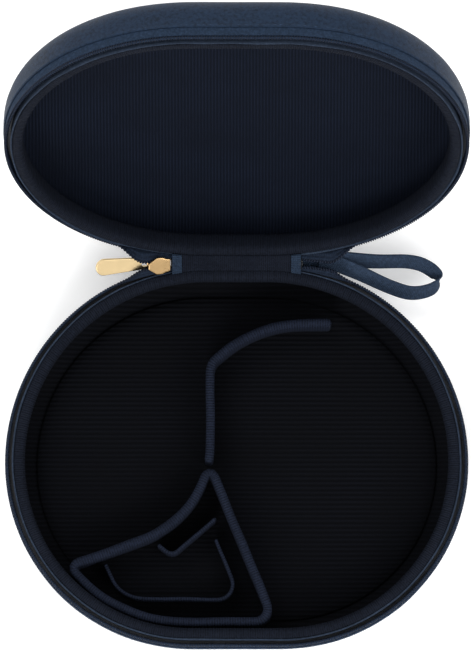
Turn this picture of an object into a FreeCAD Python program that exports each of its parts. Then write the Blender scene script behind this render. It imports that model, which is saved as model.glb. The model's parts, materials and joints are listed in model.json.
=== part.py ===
"""Hard-shell headphone carrying case: two moulded oval half shells, a fabric hinge, a coil zip,
a padded divider insert and a wrist strap.  Millimetres, +Z up, origin under the base's middle.

Every rim part is drawn as a profile in (inset, depth): inset is measured inwards from the case's
outline, and depth away from the split plane where the base and the lid meet.  The same profile
makes the base's part below the split plane and the lid's part above it.  The lid and everything
on it is then turned about the hinge line to the open pose, and what sits on the fold by half."""
import FreeCAD
import Part
import math
import os

V = FreeCAD.Vector

# ---- overall shape ----
CASE_WIDTH = 215.0
FRONT_RADIUS = 86.5          # plan radius of both front corners
BACK_RADIUS = 93.5           # plan radius of both back corners
BASE_HEIGHT = 30.0           # table to split plane
LID_HEIGHT = 28.0            # split plane to the lid's flat top
OPEN_ANGLE = 118.0           # lid angle in the rest pose, 0 is closed
SHOULDER_RADIUS = 14.0
DRAFT_ANGLE = 4.0
DRAFT_START = 12.0           # depth where the wall starts to lean in

# ---- laminated wall, from the outside in ----
FABRIC = 0.7
FOAM = 2.7
LINER = 0.7
WALL = FABRIC + FOAM + LINER
FABRIC_TOP = 7.5             # depth of the fabric's sewn top edge
FOAM_TOP = 6.0
FLOOR_LAP = 1.0              # flat floor that the wall sweep takes along

# ---- padded collar behind the zip ----
COLLAR_WIDTH = 5.0
COLLAR_DEPTH = 9.5
COLLAR_ROUND = 2.2
COVER = 0.6
WELT = 0.8                   # upright fabric lip between zip and collar
PART_GAP = 0.15              # half the gap left at the split plane

# ---- zip ----
TAPE = 0.6
TAPE_INSET = 0.7
TAPE_TAIL = 11.9             # depth that the tape reaches behind the fabric
COIL_WIDTH = 2.0
COIL_TOP = 0.9
COIL_HEIGHT = 2.05
TAPE_SPLIT = 6.2             # depth above which the tape's end may flex
THREAD = 0.5
HINGE_OVERRUN = 14.0         # how far the hinge runs past the straight back edge, each side
CHAIN_BEND = 28.0            # stretch past the hinge where the chain bends towards the fold
TAIL_DIAMETER = 1.9
TAIL_BEND = 8.0
STOP_LENGTH = 2.0
STOP_GAP = 0.4
STRIP_GAP = 0.5

# ---- slider and pull ----
SLIDER_LENGTH = 10.5
SLIDER_WIDE = 8.8
SLIDER_NARROW = 7.8
SLIDER_OFFSET = 8.3          # from the hinge's end to the slider's middle
SLIDER_TRAVEL = 10.0
SLIDER_CLEARANCE = 0.3
PLATE = 0.85
CHANNEL = 2.6                # gap between the two plates
FLANGE_LIP = 0.7
FLANGE_IN = 3.15             # half height where the side flanges begin
POST_LENGTH = 2.4
POST_HALF = 0.65
BAIL_HALF = 1.0
BAIL_FEET = 3.7              # half length over both feet
BAIL_BAR = 1.2
BAIL_RISE = 1.8              # clear height under the bail
PIVOT_X = 1.2
PIVOT_RADIUS = 0.75
PULL_LENGTH = 28.0
PULL_THICK = 1.5
PULL_ROOT = 5.2
PULL_WIDTH = 8.8
WINDOW_HALF = 1.5
WINDOW_LENGTH = 6.3

# ---- wrist strap ----
STRAP_WIDTH = 8.0
STRAP_THICK = 1.1
STRAP_DROOP = 17.0           # slope of the loop, degrees below level
ANCHOR_OFFSET = 3.0          # from the hinge's end to the sewn tab
ANCHOR_LENGTH = 9.0
ANCHOR_STANDOFF = 0.3        # from the hinge line out to the sewn tab
STRAP_LENGTH = 59.0
STRAP_BELLY = 17.5           # how far the near leg bows out
STRAP_TIP_RADIUS = 8.3
STRAP_ROOT_RADIUS = 1.5
STRAP_GAP = 1.8
BARTACK = 0.4
BARTACK_WIDTH = 1.8

# ---- divider insert ----
PAD = 1.5
PAD_GAP = 0.3
RIDGE = 4.0                  # wall thickness of the divider
RIDGE_HEIGHT = 20.4          # above the floor pad
CUP_X = -59.8
CUP_Y = 9.0
CUP_RADIUS = 47.5            # divider's sweep round the left ear cup
CUP_START = -19.0
CUP_END = -70.0
STEM_START = -8.5            # bearing where the stem leaves the box's apex
STEM_LEAD = 2.0
RIGHT_CUP_X = 31.0
RIGHT_CUP_Y = 8.0
RIGHT_CUP_RADIUS = 57.0
STEM_BEND = 8.0
STEM_END_X = 44.0
BOX_CLEARANCE = 1.3          # from the collar to the accessory box's front wall
BOX_FRONT_X = 17.5
BOX_CORNER = 2.8
BOX_FRONT_CORNER = 6.0
BOX_APEX = 2.4
BOX_APEX_RISE = 6.6          # straight stretch between the cup's sweep and the apex corner
POCKET_WALL = 1.6
POCKET_HEIGHT = 11.5
ADAPTER_HEIGHT = 14.0

EPS = 1e-6
SPLIT_Z = BASE_HEIGHT
HINGE_POINT = V(0, BACK_RADIUS, SPLIT_Z)
HINGE_AXIS = V(-1, 0, 0)
HALF_OPEN = OPEN_ANGLE / 2
UP = V(0, 0, 1)
BACK_X = CASE_WIDTH / 2 - BACK_RADIUS
FRONT_X = CASE_WIDTH / 2 - FRONT_RADIUS
HINGE_HALF = BACK_X + HINGE_OVERRUN
CHAIN_GAP = HINGE_HALF + CHAIN_BEND
STRIP_HALF = HINGE_HALF - STRIP_GAP
SLIDER_X = -HINGE_HALF - SLIDER_OFFSET
ANCHOR_START = HINGE_HALF + ANCHOR_OFFSET
BOX_INSET = WALL + COLLAR_WIDTH + BOX_CLEARANCE + RIDGE / 2
CHAIN_INSET = COIL_WIDTH / 2


# ---- runs: the straight and round stretches of a plan path ----
def line_run(start, end):
    return {"start": start, "end": end, "centre": None, "turn": 0.0,
            "direction": (end - start).normalize()}


def arc_run(start, direction, radius, turn):
    """An arc that leaves start along direction and turns left for a positive turn in radians."""
    side = 1 if turn > 0 else -1
    centre = start + V(-direction.y, direction.x, 0) * radius * side
    spoke = start - centre
    end = centre + FreeCAD.Rotation(UP, math.degrees(turn)).multVec(spoke)
    return {"start": start, "end": end, "centre": centre, "turn": turn, "direction": direction}


def rounded_runs(corners, closed):
    """Lines joined by tangent arcs, from (x, y, radius) corners."""
    count = len(corners)
    ends = []
    for index, (x, y, radius) in enumerate(corners):
        here = V(x, y, 0)
        if not closed and index in (0, count - 1):
            ends.append((here, here, None))
            continue
        before = V(corners[index - 1][0], corners[index - 1][1], 0)
        after = V(corners[(index + 1) % count][0], corners[(index + 1) % count][1], 0)
        into = (here - before).normalize()
        out = (after - here).normalize()
        turn = math.atan2(into.x * out.y - into.y * out.x, into.dot(out))
        reach = radius * math.tan(abs(turn) / 2)
        entry = here - into * reach
        ends.append((entry, here + out * reach, arc_run(entry, into, radius, turn)))
    runs = []
    for index in range(count if closed else count - 1):
        entry, leave, arc = ends[index]
        if arc:
            runs.append(arc)
        following = ends[(index + 1) % count][0]
        if (following - leave).Length > EPS:
            runs.append(line_run(leave, following))
    return runs


def outline_runs(inset):
    """The case's outline, clockwise from above, moved inwards by inset."""
    half = CASE_WIDTH / 2 - inset
    back = BACK_RADIUS - inset
    front = FRONT_RADIUS - inset
    corners = [(-half, back, back), (half, back, back), (half, -front, front), (-half, -front, front)]
    return rounded_runs(corners, True)


def outline_y(x, inset):
    """Y of the back outline at x, moved inwards by inset."""
    reach = max(0.0, abs(x) - BACK_X)
    return math.sqrt((BACK_RADIUS - inset) ** 2 - reach ** 2)


def lean_at(x):
    """Angle of the back outline's normal at x, away from +Y, in radians."""
    return math.asin(max(0.0, abs(x) - BACK_X) / BACK_RADIUS)


def zip_runs(gap):
    """The outline without its hinge stretch, from +gap clockwise round the front to -gap."""
    lean = lean_at(gap)
    start = V(gap, BACK_RADIUS * math.cos(lean), 0)
    direction = V(math.cos(lean), -math.sin(lean), 0)
    right_back = arc_run(start, direction, BACK_RADIUS, lean - math.pi / 2)
    right_front = arc_run(right_back["end"], V(0, -1, 0), FRONT_RADIUS, -math.pi / 2)
    front = line_run(right_front["end"], V(-FRONT_X, -FRONT_RADIUS, 0))
    left_front = arc_run(front["end"], V(-1, 0, 0), FRONT_RADIUS, -math.pi / 2)
    left_back = arc_run(left_front["end"], V(0, 1, 0), BACK_RADIUS, lean - math.pi / 2)
    return [right_back, right_front, front, left_front, left_back]


def hinge_runs(half):
    """The back stretch of the outline from -half to +half."""
    lean = lean_at(half)
    start = V(-half, BACK_RADIUS * math.cos(lean), 0)
    left = arc_run(start, V(math.cos(lean), math.sin(lean), 0), BACK_RADIUS, -lean)
    middle = line_run(left["end"], V(BACK_X, BACK_RADIUS, 0))
    return [left, middle, arc_run(middle["end"], V(1, 0, 0), BACK_RADIUS, -lean)]


# ---- solids from profiles ----
def profile_wire(profile, place):
    """A closed wire.  Each step is an (a, b) corner or a (middle, end) pair of corners for an arc."""
    edges = []
    last = place(*profile[0])
    for step in profile[1:] + [profile[0]]:
        if isinstance(step[0], tuple):
            end = place(*step[1])
            edges.append(Part.Arc(last, place(*step[0]), end).toShape())
        else:
            end = place(*step)
            if (end - last).Length > EPS:
                edges.append(Part.makeLine(last, end))
        last = end
    return Part.Wire(edges)


def sweep(profile, runs, height_of):
    """The solid that the profile fills along the runs, its first value measured to the right."""
    pieces = []
    for run in runs:
        normal = V(-run["direction"].y, run["direction"].x, 0)

        def place(inset, depth, start=run["start"], normal=normal):
            spot = start - normal * inset
            return V(spot.x, spot.y, height_of(depth))

        face = Part.Face(profile_wire(profile, place))
        if run["centre"] is None:
            pieces.append(face.extrude(run["end"] - run["start"]))
        else:
            axis = UP if run["turn"] > 0 else -UP
            pieces.append(face.revolve(run["centre"], axis, math.degrees(abs(run["turn"]))))
    return joined(pieces)


def joined(pieces):
    if len(pieces) == 1:
        return pieces[0]
    return pieces[0].multiFuse(pieces[1:]).removeSplitter()


def plate(runs, low, high):
    """A flat slab between two heights, bounded by closed runs."""
    edges = []
    for run in runs:
        start = V(run["start"].x, run["start"].y, low)
        end = V(run["end"].x, run["end"].y, low)
        if run["centre"] is None:
            edges.append(Part.makeLine(start, end))
            continue
        half_turn = FreeCAD.Rotation(UP, math.degrees(run["turn"] / 2))
        middle = run["centre"] + half_turn.multVec(run["start"] - run["centre"])
        edges.append(Part.Arc(start, V(middle.x, middle.y, low), end).toShape())
    return Part.Face(Part.Wire(edges)).extrude(V(0, 0, high - low))


def base_height(depth):
    return SPLIT_Z - depth


def lid_height(depth):
    return SPLIT_Z + depth


def turned(shape, angle):
    """The shape turned about the hinge line towards open."""
    copy = shape.copy()
    copy.rotate(HINGE_POINT, HINGE_AXIS, angle)
    return copy


def turned_point(point, angle):
    return HINGE_POINT + FreeCAD.Rotation(HINGE_AXIS, angle).multVec(point - HINGE_POINT)


# ---- shell layers ----
def wall_surface(skin, half_height):
    """Knee, wall end, shoulder middle and floor start of the surface that lies skin inside the wall."""
    draft = math.radians(DRAFT_ANGLE)
    radius = SHOULDER_RADIUS
    centre_depth = half_height - radius
    centre_inset = radius / math.cos(draft) + (centre_depth - DRAFT_START) * math.tan(draft)
    reach = radius - skin
    bisector = (math.pi / 2 + draft) / 2
    knee_depth = DRAFT_START + (skin - skin / math.cos(draft)) / math.tan(draft)
    wall_end = (centre_inset - reach * math.cos(draft), centre_depth + reach * math.sin(draft))
    middle = (centre_inset - reach * math.cos(bisector), centre_depth + reach * math.sin(bisector))
    return (skin, knee_depth), wall_end, middle, (centre_inset, half_height - skin)


def shell_layer(outer, inner, top, half_height, height_of, top_skin=None):
    """One layer of the moulded shell: wall, shoulder and floor in one solid."""
    knee_a, wall_a, middle_a, floor_a = wall_surface(outer, half_height)
    knee_b, wall_b, middle_b, floor_b = wall_surface(inner, half_height)
    lap = floor_a[0] + FLOOR_LAP
    profile = [(outer, top), knee_a, wall_a, (middle_a, floor_a), (lap, floor_a[1]),
               (lap, floor_b[1]), floor_b, (middle_b, wall_b), knee_b, (inner, top)]
    if top_skin is not None:
        profile[0:1] = [(top_skin, top), (top_skin, knee_a[1])]
    wall = sweep(profile, outline_runs(0), height_of)
    low, high = sorted((height_of(floor_a[1]), height_of(floor_b[1])))
    return joined([wall, plate(outline_runs(lap), low, high)])


def rim_parts(half_height, height_of):
    """Every part that the base and the lid have alike, in the closed pose."""
    tape_out = TAPE_INSET + TAPE
    coil_low = COIL_TOP + COIL_HEIGHT
    collar_out = WALL + COLLAR_WIDTH
    collar_low = PART_GAP + COLLAR_DEPTH
    bend = COLLAR_ROUND * (1 - math.cos(math.pi / 4))
    core_round = COLLAR_ROUND - COVER
    core_bend = core_round * (1 - math.cos(math.pi / 4))
    core_out = collar_out - COVER
    core_top = PART_GAP + COVER
    core_low = collar_low - COVER
    cover = [(WALL, core_top), (WALL, PART_GAP), (collar_out - COLLAR_ROUND, PART_GAP),
             ((collar_out - bend, PART_GAP + bend), (collar_out, PART_GAP + COLLAR_ROUND)),
             (collar_out, collar_low), (WALL, collar_low), (WALL, core_low), (core_out, core_low),
             (core_out, core_top + core_round),
             ((core_out - core_bend, core_top + core_bend), (core_out - core_round, core_top))]
    core = [(WALL, core_low), (WALL, core_top), (core_out - core_round, core_top),
            ((core_out - core_bend, core_top + core_bend), (core_out, core_top + core_round)),
            (core_out, core_low)]
    welt_in = WALL - WELT
    welt = [(welt_in, FOAM_TOP), (welt_in, PART_GAP), (WALL, PART_GAP), (WALL, FOAM_TOP)]
    tape_low = [(TAPE_INSET, TAPE_TAIL), (TAPE_INSET, TAPE_SPLIT), (tape_out, TAPE_SPLIT),
                (tape_out, TAPE_TAIL)]
    tape_high = [(TAPE_INSET, TAPE_SPLIT), (TAPE_INSET, coil_low), (tape_out, coil_low),
                 (tape_out, TAPE_SPLIT)]
    coil_round = COIL_WIDTH / 4
    coil = [(0, coil_low - coil_round), (0, COIL_TOP + coil_round),
            (coil_round, COIL_TOP), (COIL_WIDTH - coil_round, COIL_TOP),
            (COIL_WIDTH, COIL_TOP + coil_round), (COIL_WIDTH, coil_low - coil_round),
            (COIL_WIDTH - coil_round, coil_low), (coil_round, coil_low)]
    thread = [(TAPE_INSET, FABRIC_TOP), (TAPE_INSET - THREAD, FABRIC_TOP),
              (TAPE_INSET - THREAD, FABRIC_TOP - THREAD), (TAPE_INSET, FABRIC_TOP - THREAD)]
    hinge_leaf = [(TAPE_INSET, TAPE_TAIL), (TAPE_INSET, PART_GAP), (tape_out, PART_GAP),
                  (tape_out, TAPE_TAIL)]
    whole = outline_runs(0)
    return {
        "outer_fabric": shell_layer(0, FABRIC, FABRIC_TOP, half_height, height_of),
        "foam_shell": shell_layer(FABRIC, FABRIC + FOAM, FOAM_TOP, half_height, height_of, tape_out),
        "liner": shell_layer(FABRIC + FOAM, WALL, FOAM_TOP, half_height, height_of),
        "collar_core": sweep(core, whole, height_of),
        "collar_cover": sweep(cover, whole, height_of),
        "rim_welt": sweep(welt, whole, height_of),
        "seam_thread": sweep(thread, whole, height_of),
        "zip_tape": joined([sweep(tape_low, zip_runs(HINGE_HALF + STOP_GAP), height_of),
                            sweep(tape_high, zip_runs(CHAIN_GAP), height_of)]),
        "zip_coil": sweep(coil, zip_runs(CHAIN_GAP), height_of),
        "hinge_leaf": sweep(hinge_leaf, hinge_runs(HINGE_HALF), height_of),
    }


# ---- parts at the fold ----
def chain_point(x, depth):
    """A point on the middle of the zip chain at x, in the closed pose."""
    return V(x, outline_y(x, CHAIN_INSET), SPLIT_Z - depth)


def tube(points, diameter, bend):
    """A round tube through three points, with a tangent arc at the middle one."""
    first, corner, last = points
    into = (corner - first).normalize()
    out = (last - corner).normalize()
    half_turn = into.getAngle(out) / 2
    reach = bend * math.tan(half_turn)
    entry = corner - into * reach
    leave = corner + out * reach
    inwards = (out - into).normalize()
    middle = corner + inwards * bend * (1 / math.cos(half_turn) - 1)
    path = Part.Wire([Part.makeLine(first, entry), Part.Arc(entry, middle, leave).toShape(),
                      Part.makeLine(leave, last)])
    disc = Part.Wire([Part.makeCircle(diameter / 2, first, into)])
    return path.makePipeShell([disc], True, False)


def zip_tail(side, lid):
    """The chain's flexible end between the main coil and the fold, on the left or right side."""
    depth = COIL_TOP + COIL_HEIGHT / 2
    depth = -depth if lid else depth
    own_angle = OPEN_ANGLE if lid else 0
    fold_end = HINGE_HALF + STOP_GAP + STOP_LENGTH + STOP_GAP
    mouth = abs(SLIDER_X) + SLIDER_LENGTH / 2 - STOP_GAP
    points = [turned_point(chain_point(side * fold_end, depth), HALF_OPEN),
              turned_point(chain_point(side * mouth, depth), HALF_OPEN),
              turned_point(chain_point(side * (CHAIN_GAP - 2 * STOP_GAP), depth), own_angle)]
    return tube(points, TAIL_DIAMETER, TAIL_BEND)


def hinge_strip():
    """Inner knit strip from collar to collar, drawn taut across the open fold."""
    width_dir = turned_point(HINGE_POINT + UP, HALF_OPEN) - HINGE_POINT
    inner_dir = turned_point(HINGE_POINT + V(0, -1, 0), HALF_OPEN) - HINGE_POINT
    reach = WALL - WELT / 2
    edge = reach * math.sin(math.radians(HALF_OPEN))
    drop = reach * math.cos(math.radians(HALF_OPEN))

    def place(along, inwards):
        return HINGE_POINT + width_dir * along + inner_dir * inwards - V(STRIP_HALF, 0, 0)

    low = drop + 2 * PART_GAP
    profile = [(-edge, low), ((0, low - 2 * COVER), (edge, low)),
               (edge + COVER / 2, low + COVER), ((0, low - COVER), (-edge - COVER / 2, low + COVER))]
    return Part.Face(profile_wire(profile, place)).extrude(V(2 * STRIP_HALF, 0, 0))


def at_chain(shape, x):
    """Moves a shape drawn about the chain's middle (x along, y outwards) to x on the fold."""
    lean = math.copysign(lean_at(x), x)
    outwards = V(math.sin(lean), math.cos(lean), 0)
    along = V(outwards.y, -outwards.x, 0)
    if x < 0:
        along = -along
    placed = shape.copy()
    rotation = FreeCAD.Rotation(along, outwards, along.cross(outwards), "XYZ")
    placed.Placement = FreeCAD.Placement(chain_point(x, 0), rotation).multiply(shape.Placement)
    return turned(placed, HALF_OPEN)


def rounded_block(length, thick, height, radius):
    block = Part.makeBox(length, thick, height, V(-length / 2, -thick / 2, -height / 2))
    return block.makeFillet(radius, block.Edges)


def zip_stop(side):
    """Moulded clip that closes the end of the chain."""
    height = 2 * (COIL_TOP + COIL_HEIGHT)
    clip = rounded_block(STOP_LENGTH, COIL_WIDTH + 2 * STOP_GAP, height, STOP_GAP)
    return at_chain(clip, side * (HINGE_HALF + STOP_GAP + STOP_LENGTH / 2))


def slider_plate(low):
    """Tapered plate of the slider, wide at its mouth (+x)."""
    half = SLIDER_LENGTH / 2
    corners = [(-half, -SLIDER_NARROW / 2, 2.4), (-half, SLIDER_NARROW / 2, 2.4),
               (half, SLIDER_WIDE / 2, 1.6), (half, -SLIDER_WIDE / 2, 1.6)]
    flat = plate(rounded_runs(corners, True), low, low + PLATE)
    rim = [edge for edge in flat.Edges if abs(edge.BoundBox.ZLength) < EPS]
    return flat.makeFillet(PLATE / 3, rim)


def slider_body():
    """Two plates, the post between them and the flanges that guide the chain."""
    half = SLIDER_LENGTH / 2
    gap = CHANNEL / 2
    lip_low = gap - FLANGE_LIP
    pieces = [slider_plate(gap), slider_plate(-gap - PLATE)]
    post = Part.makeBox(POST_LENGTH, 2 * POST_HALF, 2 * gap + PLATE,
                        V(half - POST_LENGTH - STOP_GAP, -POST_HALF, -gap - PLATE / 2))
    pieces.append(post)
    flange = SLIDER_NARROW / 2 - FLANGE_IN
    for side in (-1, 1):
        for level in (lip_low, -gap - PLATE / 2):
            low_y = FLANGE_IN if side > 0 else -FLANGE_IN - flange
            pieces.append(Part.makeBox(SLIDER_LENGTH / 2, flange, FLANGE_LIP + PLATE / 2,
                                       V(-SLIDER_LENGTH / 4, low_y, level)))
    body = joined(pieces)
    body.rotate(V(0, 0, 0), V(1, 0, 0), -90)
    return at_chain(body, SLIDER_X)


def slider_bail():
    """Arch on the outer plate that holds the pull."""
    foot = CHANNEL / 2 + PLATE
    inner = BAIL_FEET - BAIL_BAR
    top = foot + BAIL_RISE
    crown = top + BAIL_BAR * 0.7
    profile = [(-BAIL_FEET, foot), (-BAIL_FEET, top - 0.6), ((-BAIL_FEET + 0.5, crown - 0.5), (-inner, crown)),
               (inner, crown), ((BAIL_FEET - 0.5, crown - 0.5), (BAIL_FEET, top - 0.6)), (BAIL_FEET, foot),
               (inner, foot), (inner, top), (-inner, top), (-inner, foot)]
    face = Part.Face(profile_wire(profile, lambda x, y: V(x, y, -BAIL_HALF)))
    return at_chain(face.extrude(V(0, 0, 2 * BAIL_HALF)), SLIDER_X)


def slider_relief():
    """Room in the collars and welts for the slider as it rocks about the hinge and travels."""
    half_width = SLIDER_WIDE / 2
    slope = math.tan(lean_at(SLIDER_X))
    centre_in = BACK_RADIUS - outline_y(SLIDER_X, CHAIN_INSET)
    plate_in = centre_in + CHANNEL / 2 + PLATE
    reach = SLIDER_LENGTH / 2 + SLIDER_CLEARANCE
    near = plate_in - reach * slope
    far = plate_in + (reach + SLIDER_TRAVEL) * slope
    near_radius = math.hypot(near, half_width) + SLIDER_CLEARANCE
    far_radius = math.hypot(far, half_width) + SLIDER_CLEARANCE
    near_x = SLIDER_X + reach
    far_x = SLIDER_X - reach - SLIDER_TRAVEL
    half_section = [(near_x, 0), (near_x, near_radius), (far_x, far_radius), (far_x, 0)]
    face = Part.Face(profile_wire(half_section, lambda x, y: HINGE_POINT + V(x, y, 0)))
    return face.revolve(HINGE_POINT, V(1, 0, 0), 360)


def pivot_height():
    return CHANNEL / 2 + PLATE + BAIL_RISE / 2


def pull_tab():
    """Flat tapered tab with a window at its root and a round bar under the bail."""
    end_radius = PULL_WIDTH / 2 - STOP_GAP
    corners = [(0, -PULL_ROOT / 2, 1.0), (0, PULL_ROOT / 2, 1.0),
               (PULL_LENGTH, PULL_WIDTH / 2, end_radius), (PULL_LENGTH, -PULL_WIDTH / 2, end_radius)]
    tab = plate(rounded_runs(corners, True), -PULL_THICK / 2, PULL_THICK / 2)
    rim = [edge for edge in tab.Edges if abs(edge.BoundBox.ZLength) < EPS]
    tab = tab.makeFillet(PULL_THICK / 4, rim)
    window = plate(rounded_runs([(-PULL_LENGTH, -WINDOW_HALF, 0.4), (-PULL_LENGTH, WINDOW_HALF, 0.4),
                                 (WINDOW_LENGTH, WINDOW_HALF, 1.2), (WINDOW_LENGTH, -WINDOW_HALF, 1.2)],
                                True), -PULL_THICK, PULL_THICK)
    bar = Part.makeCylinder(PIVOT_RADIUS, PULL_ROOT, V(0, -PULL_ROOT / 2, 0), V(0, 1, 0))
    clear = Part.makeBox(2 * PULL_THICK, PULL_ROOT, 2 * PULL_THICK,
                         V(-2 * PULL_THICK, -PULL_ROOT / 2, -PULL_THICK))
    tab = joined([tab.cut(window).cut(clear), bar])
    tab.rotate(V(0, 0, 0), V(1, 0, 0), -90)
    tab.translate(V(PIVOT_X, pivot_height(), 0))
    return at_chain(tab, SLIDER_X)


def at_fold(shape):
    """Moves a shape drawn closed, with y outwards from the hinge line and z up, to the open fold."""
    placed = shape.copy()
    placed.translate(HINGE_POINT)
    return turned(placed, HALF_OPEN)


def strap_anchor():
    """The strap's two sewn layers, outside the fold at its right end."""
    return at_fold(Part.makeBox(ANCHOR_LENGTH, 2 * STRAP_THICK, STRAP_WIDTH,
                                V(ANCHOR_START, ANCHOR_STANDOFF, -STRAP_WIDTH / 2)))


def strap_bartack():
    """Dense stitch bar across the sewn tab, on its outer face."""
    length = STRAP_WIDTH - 2
    return at_fold(Part.makeBox(BARTACK_WIDTH, BARTACK, length,
                                V(ANCHOR_START + ANCHOR_LENGTH / 2, ANCHOR_STANDOFF + 2 * STRAP_THICK,
                                  -length / 2)))


def strap_root():
    """Where the loop leaves the sewn tab, in the rest pose."""
    spot = HINGE_POINT + V(ANCHOR_START + ANCHOR_LENGTH + STRAP_GAP, ANCHOR_STANDOFF + STRAP_THICK, 0)
    return turned_point(spot, HALF_OPEN)


def wrist_strap():
    """A loop of webbing that droops from its root."""
    half = STRAP_THICK / 2
    profile = [(-half, -STRAP_WIDTH / 2), (-half, STRAP_WIDTH / 2),
               (half, STRAP_WIDTH / 2), (half, -STRAP_WIDTH / 2)]
    corners = [(-3, 0.2, STRAP_ROOT_RADIUS), (STRAP_LENGTH, 1.5, STRAP_TIP_RADIUS),
               (STRAP_LENGTH - 9, -STRAP_BELLY - 1.5, STRAP_TIP_RADIUS),
               (STRAP_LENGTH / 2, -STRAP_BELLY * 0.62, 45)]
    loop = sweep(profile, rounded_runs(corners, True), lambda height: height)
    low_x = loop.BoundBox.XMin
    loop.translate(V(-low_x, 0, 0))
    loop.rotate(V(0, 0, 0), V(0, 1, 0), STRAP_DROOP)
    loop.translate(strap_root())
    return loop


# ---- divider insert ----
def pad_top():
    return WALL + PAD


def floor_pad():
    inset = wall_surface(WALL, BASE_HEIGHT)[3][0] + PAD_GAP
    return plate(outline_runs(inset), WALL, pad_top())


def on_cup(angle):
    """Point and clockwise direction on the divider's sweep round the left cup."""
    bearing = math.radians(angle)
    spot = V(CUP_X + CUP_RADIUS * math.cos(bearing), CUP_Y + CUP_RADIUS * math.sin(bearing), 0)
    return spot, V(math.sin(bearing), -math.cos(bearing), 0)


def box_runs():
    """Closed path of the accessory box: round the cup, to the left corner, along the front, back."""
    cup_begin, down = on_cup(CUP_START)
    bend_reach = CUP_RADIUS * math.tan(math.radians(CUP_START - CUP_END) / 2)
    bend = cup_begin + down * bend_reach
    apex = cup_begin - down * BOX_APEX_RISE
    leave, away = on_cup(CUP_END)
    front_radius = FRONT_RADIUS - BOX_INSET
    from_centre = leave - V(-FRONT_X, 0, 0)
    along = from_centre.dot(away)
    run = -along + math.sqrt(along ** 2 - from_centre.dot(from_centre) + front_radius ** 2)
    corner = leave + away * run
    spoke = (corner - V(-FRONT_X, 0, 0)).normalize()
    tangent = V(-spoke.y, spoke.x, 0)
    fall = (-front_radius - corner.y) / tangent.y
    front = corner + tangent * fall
    corner_reach = BOX_CORNER * math.tan(away.getAngle(tangent) / 2)
    front_bend = (fall - corner_reach) / math.tan(tangent.getAngle(V(1, 0, 0)) / 2)
    corners = [(apex.x, apex.y, BOX_APEX), (bend.x, bend.y, CUP_RADIUS),
               (corner.x, corner.y, BOX_CORNER), (front.x, front.y, front_bend),
               (BOX_FRONT_X, -front_radius, BOX_FRONT_CORNER)]
    return rounded_runs(corners, True)


def stem_runs():
    """Open path of the divider's stem: up beside the left cup, then round the right cup."""
    start, down = on_cup(STEM_START)
    bend_reach = CUP_RADIUS * math.tan(math.radians(-STEM_START) / 2)
    bend = start - down * bend_reach
    top = RIGHT_CUP_Y + RIGHT_CUP_RADIUS
    lean = math.radians(40)
    shoulder_x = RIGHT_CUP_X - RIGHT_CUP_RADIUS * math.tan(lean / 2)
    rise = (shoulder_x - bend.x) * math.tan(lean)
    corners = [(start.x, start.y, 0), (bend.x, bend.y, CUP_RADIUS), (bend.x, top - rise, STEM_BEND),
               (shoulder_x, top, RIGHT_CUP_RADIUS), (STEM_END_X, top, 0)]
    return rounded_runs(corners, False)


def ridge(runs, ends):
    """Core and cover of a round-topped divider wall; ends caps an open wall with cover."""
    def arch(half, top):
        return [(-half, 0), (-half, top - half), ((0, top), (half, top - half)), (half, 0)]

    def lift(height):
        return pad_top() + height

    half = RIDGE / 2
    whole = sweep(arch(half, RIDGE_HEIGHT), runs, lift)
    inner_runs = runs
    if ends:
        first, last = runs[0], runs[-1]
        trimmed_first = line_run(first["start"] + first["direction"] * COVER, first["end"])
        trimmed_last = line_run(last["start"], last["end"] - last["direction"] * COVER)
        inner_runs = [trimmed_first] + runs[1:-1] + [trimmed_last]
    core = sweep(arch(half - COVER, RIDGE_HEIGHT - COVER), inner_runs, lift)
    return core, whole.cut(core)


def straight_first(runs):
    """Adds a short straight run ahead of runs, so that the end can be trimmed square."""
    first = runs[0]
    lead = first["start"] - first["direction"] * STEM_LEAD
    return [line_run(lead, first["start"])] + runs


def pocket_rim():
    """Thin upright wall that keeps cables inside the accessory box."""
    half = POCKET_WALL / 2
    profile = [(-half, 0), (-half, POCKET_HEIGHT), (half, POCKET_HEIGHT), (half, 0)]
    front = -(FRONT_RADIUS - BOX_INSET) + 2.8 * RIDGE
    corners = [(-61, -46.5, 0), (-53, front, 16), (1.5, front, 7), (-9.5, front + 28, 0)]
    return sweep(profile, rounded_runs(corners, False), lambda height: pad_top() + height)


def adapter_wall():
    """Low wall across the accessory box that frames the adapter's pocket."""
    half = POCKET_WALL / 2
    profile = [(-half, 0), (-half, ADAPTER_HEIGHT), (half, ADAPTER_HEIGHT), (half, 0)]
    corners = [(-36.5, -37.5, 0), (-30, -43, 4), (-9.6, -25.5, 0)]
    return sweep(profile, rounded_runs(corners, False), lambda height: pad_top() + height)


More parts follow.
